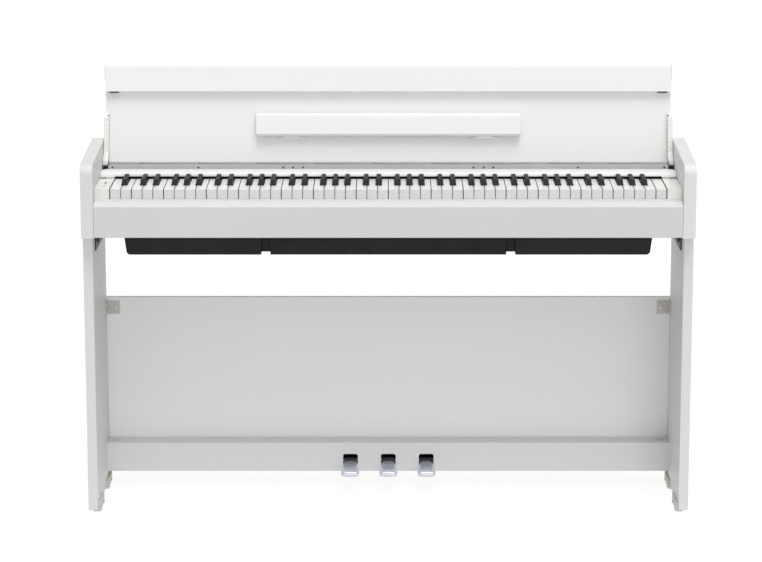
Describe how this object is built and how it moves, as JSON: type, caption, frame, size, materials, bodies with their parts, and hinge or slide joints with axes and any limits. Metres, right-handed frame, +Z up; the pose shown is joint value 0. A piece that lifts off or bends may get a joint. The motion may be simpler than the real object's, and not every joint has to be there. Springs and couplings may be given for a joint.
{
  "type": "digital piano on stand",
  "caption": "Slim upright digital piano with a full keyboard between side arms, a folding lid with flap and music ledge, panel legs and a pedal box.",
  "frame": {"origin": "on the floor, under the middle of the whole instrument as it stands with its lid open", "axes": "+X to the player's right along the keyboard, +Y away from the player, +Z up"},
  "size_m": [1.353, 0.3197, 0.9823],
  "materials": {
    "white_panel": "board with a matt white film, very fine grain",
    "raw_board": "bare particle board",
    "white_plastic": "moulded off-white plastic, satin",
    "beige_plastic": "moulded beige plastic, fine texture",
    "black_panel": "board painted matt black",
    "black_plastic": "moulded black plastic, fine texture",
    "black_steel": "black powder coat",
    "steel": "zinc plated steel",
    "hinge_grey": "grey coated steel strip",
    "chrome": "polished nickel plate",
    "white_key": "semi-gloss ivory-white plastic",
    "black_key": "satin black plastic",
    "black_felt": "pressed felt",
    "red_felt": "pressed felt",
    "rubber": "moulded rubber",
    "circuit_board": "glass-fibre board with green resist"
  },
  "bodies": {
    "root": {"back_panel": "white_panel", "bracket_screws": "steel", "electronics_box": "black_panel", "end_block_left": "white_plastic", "end_block_right": "white_plastic", "feet": "beige_plastic", "hinge_leaf_fixed": "hinge_grey", "hinge_pin": "steel", "hinge_rail": "hinge_grey", "jack_panel": "black_plastic", "key_bed": "raw_board", "key_chassis": "steel", "key_felt": "black_felt", "key_pivot_rod": "steel", "key_slip": "white_panel", "key_stop_felt": "red_felt", "leg_brackets": "black_steel", "leg_left": "white_panel", "leg_right": "white_panel", "lid_stops": "rubber", "main_board": "circuit_board", "panel_brackets": "beige_plastic", "pedal_box_floor": "raw_board", "pedal_box_front": "white_panel", "pedal_box_top": "white_panel", "pedal_pivot_rod": "steel", "rear_board": "white_panel", "rear_cover": "white_plastic", "screw_caps": "beige_plastic", "side_arm_left": "white_panel", "side_arm_right": "white_panel", "speaker_box_left": "black_panel", "speaker_box_right": "black_panel", "speakers": "black_plastic"},
    "lid": {"lid_panel": "white_panel", "hinge_leaf_moving": "hinge_grey", "hinge_arm_left": "white_plastic", "hinge_arm_right": "white_plastic", "flap_brackets": "white_plastic", "ledge_hinges": "white_plastic"},
    "flap": {"lid_flap": "white_panel", "flap_bumpers": "rubber"},
    "ledge": {"music_ledge": "white_panel"},
    "slider": {"volume_slider": "white_plastic"},
    "button": {"power_button": "white_plastic"},
    "pedal_left": {"pedal_left": "chrome"},
    "pedal_centre": {"pedal_centre": "chrome"},
    "pedal_right": {"pedal_right": "chrome"},
    "keys_a": {"white_keys_a": "white_key"},
    "keys_b": {"white_keys_b": "white_key"},
    "keys_c": {"white_keys_c": "white_key"},
    "keys_d": {"white_keys_d": "white_key"},
    "keys_e": {"white_keys_e": "white_key"},
    "keys_f": {"white_keys_f": "white_key"},
    "keys_g": {"white_keys_g": "white_key"},
    "keys_a_sharp": {"black_keys_a_sharp": "black_key"},
    "keys_c_sharp": {"black_keys_c_sharp": "black_key"},
    "keys_d_sharp": {"black_keys_d_sharp": "black_key"},
    "keys_f_sharp": {"black_keys_f_sharp": "black_key"},
    "keys_g_sharp": {"black_keys_g_sharp": "black_key"}
  },
  "joints": [
    {"name": "lid_hinge", "type": "hinge", "parent": "root", "child": "lid", "pos_m": [0, 0.0661, 0.767], "axis": [1, 0, 0], "range_deg": [0, 105.5]},
    {"name": "flap_hinge", "type": "hinge", "parent": "lid", "child": "flap", "pos_m": [0, 0.13729, 0.97533], "axis": [-1, 0, 0], "range_deg": [0, 90]},
    {"name": "ledge_hinge", "type": "hinge", "parent": "lid", "child": "ledge", "pos_m": [0, 0.10058, 0.81856], "axis": [-1, 0, 0], "range_deg": [-88, 0]},
    {"name": "volume_slide", "type": "slide", "parent": "root", "child": "slider", "axis": [0, 1, 0], "range_m": [0, 0.045]},
    {"name": "power_push", "type": "slide", "parent": "root", "child": "button", "axis": [0, 0, -1], "range_m": [0, 0.0015], "stiffness_N_per_m": 400, "springref_m": -0.002},
    {"name": "pedal_left_pivot", "type": "hinge", "parent": "root", "child": "pedal_left", "pos_m": [0, 0.1261, 0.05], "axis": [1, 0, 0], "range_deg": [0, 7], "stiffness_Nm_per_rad": 8, "springref_deg": -17.19},
    {"name": "pedal_centre_pivot", "type": "hinge", "parent": "root", "child": "pedal_centre", "pos_m": [0, 0.1261, 0.05], "axis": [1, 0, 0], "range_deg": [0, 7], "stiffness_Nm_per_rad": 8, "springref_deg": -17.19},
    {"name": "pedal_right_pivot", "type": "hinge", "parent": "root", "child": "pedal_right", "pos_m": [0, 0.1261, 0.05], "axis": [1, 0, 0], "range_deg": [0, 7], "stiffness_Nm_per_rad": 8, "springref_deg": -17.19},
    {"name": "keys_a_pivot", "type": "hinge", "parent": "root", "child": "keys_a", "pos_m": [0, 0.0751, 0.733], "axis": [1, 0, 0], "range_deg": [0, 2.75], "stiffness_Nm_per_rad": 5, "springref_deg": -20.05},
    {"name": "keys_b_pivot", "type": "hinge", "parent": "root", "child": "keys_b", "pos_m": [0, 0.0751, 0.733], "axis": [1, 0, 0], "range_deg": [0, 2.75], "stiffness_Nm_per_rad": 5, "springref_deg": -20.05},
    {"name": "keys_c_pivot", "type": "hinge", "parent": "root", "child": "keys_c", "pos_m": [0, 0.0751, 0.733], "axis": [1, 0, 0], "range_deg": [0, 2.75], "stiffness_Nm_per_rad": 5, "springref_deg": -20.05},
    {"name": "keys_d_pivot", "type": "hinge", "parent": "root", "child": "keys_d", "pos_m": [0, 0.0751, 0.733], "axis": [1, 0, 0], "range_deg": [0, 2.75], "stiffness_Nm_per_rad": 5, "springref_deg": -20.05},
    {"name": "keys_e_pivot", "type": "hinge", "parent": "root", "child": "keys_e", "pos_m": [0, 0.0751, 0.733], "axis": [1, 0, 0], "range_deg": [0, 2.75], "stiffness_Nm_per_rad": 5, "springref_deg": -20.05},
    {"name": "keys_f_pivot", "type": "hinge", "parent": "root", "child": "keys_f", "pos_m": [0, 0.0751, 0.733], "axis": [1, 0, 0], "range_deg": [0, 2.75], "stiffness_Nm_per_rad": 5, "springref_deg": -20.05},
    {"name": "keys_g_pivot", "type": "hinge", "parent": "root", "child": "keys_g", "pos_m": [0, 0.0751, 0.733], "axis": [1, 0, 0], "range_deg": [0, 2.75], "stiffness_Nm_per_rad": 5, "springref_deg": -20.05},
    {"name": "keys_a_sharp_pivot", "type": "hinge", "parent": "root", "child": "keys_a_sharp", "pos_m": [0, 0.0751, 0.733], "axis": [1, 0, 0], "range_deg": [0, 2.75], "stiffness_Nm_per_rad": 5, "springref_deg": -20.05},
    {"name": "keys_c_sharp_pivot", "type": "hinge", "parent": "root", "child": "keys_c_sharp", "pos_m": [0, 0.0751, 0.733], "axis": [1, 0, 0], "range_deg": [0, 2.75], "stiffness_Nm_per_rad": 5, "springref_deg": -20.05},
    {"name": "keys_d_sharp_pivot", "type": "hinge", "parent": "root", "child": "keys_d_sharp", "pos_m": [0, 0.0751, 0.733], "axis": [1, 0, 0], "range_deg": [0, 2.75], "stiffness_Nm_per_rad": 5, "springref_deg": -20.05},
    {"name": "keys_f_sharp_pivot", "type": "hinge", "parent": "root", "child": "keys_f_sharp", "pos_m": [0, 0.0751, 0.733], "axis": [1, 0, 0], "range_deg": [0, 2.75], "stiffness_Nm_per_rad": 5, "springref_deg": -20.05},
    {"name": "keys_g_sharp_pivot", "type": "hinge", "parent": "root", "child": "keys_g_sharp", "pos_m": [0, 0.0751, 0.733], "axis": [1, 0, 0], "range_deg": [0, 2.75], "stiffness_Nm_per_rad": 5, "springref_deg": -20.05}
  ]
}
